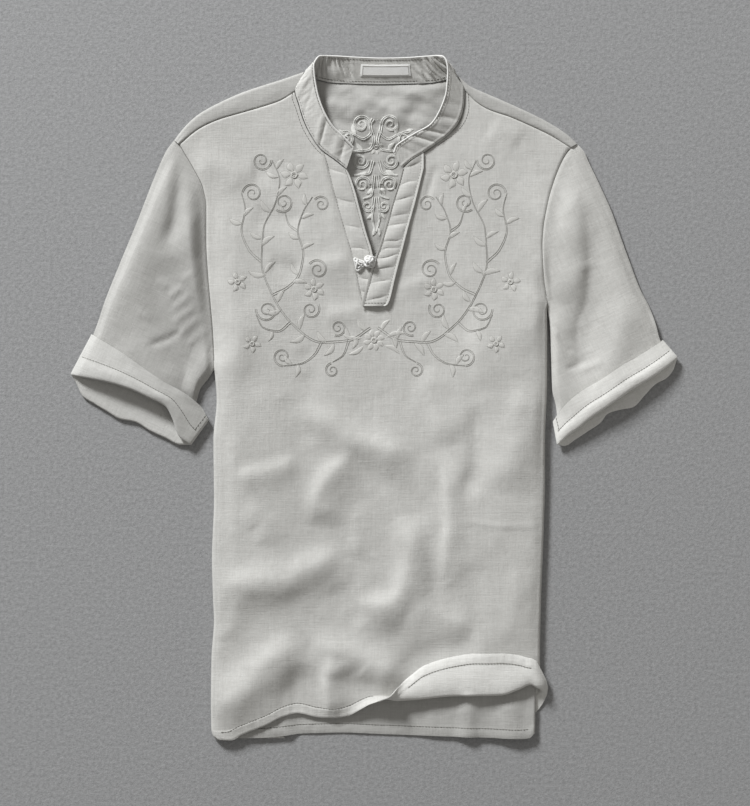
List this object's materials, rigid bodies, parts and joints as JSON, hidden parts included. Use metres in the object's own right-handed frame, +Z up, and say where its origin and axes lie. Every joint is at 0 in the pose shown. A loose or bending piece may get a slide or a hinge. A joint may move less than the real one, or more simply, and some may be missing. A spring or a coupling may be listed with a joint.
{
  "type": "linen shirt",
  "caption": "Short-sleeved pullover shirt with a stand collar, a slit at the neck and a knot button, laid flat with rolled cuffs and one hem corner turned up.",
  "frame": {"origin": "on the floor under the middle of the shirt's box", "axes": "+X to the viewer's right, +Y from the hem to the collar, +Z up from the floor; the shirt lies on its back"},
  "size_m": [0.6678, 0.7529, 0.0186],
  "materials": {
    "linen": "plain-woven linen, pale warm grey, matt",
    "label_tape": "smooth woven tape, off-white, no text",
    "knot_cord": "rolled cloth cord, off-white"
  },
  "bodies": {
    "root": {"back": "linen", "front": "linen", "yoke": "linen", "sleeve_left": "linen", "sleeve_right": "linen", "collar_band": "linen", "placket_left": "linen", "placket_right": "linen", "label": "label_tape", "knot_button": "knot_cord", "knot_loop": "knot_cord"}
  },
  "joints": []
}
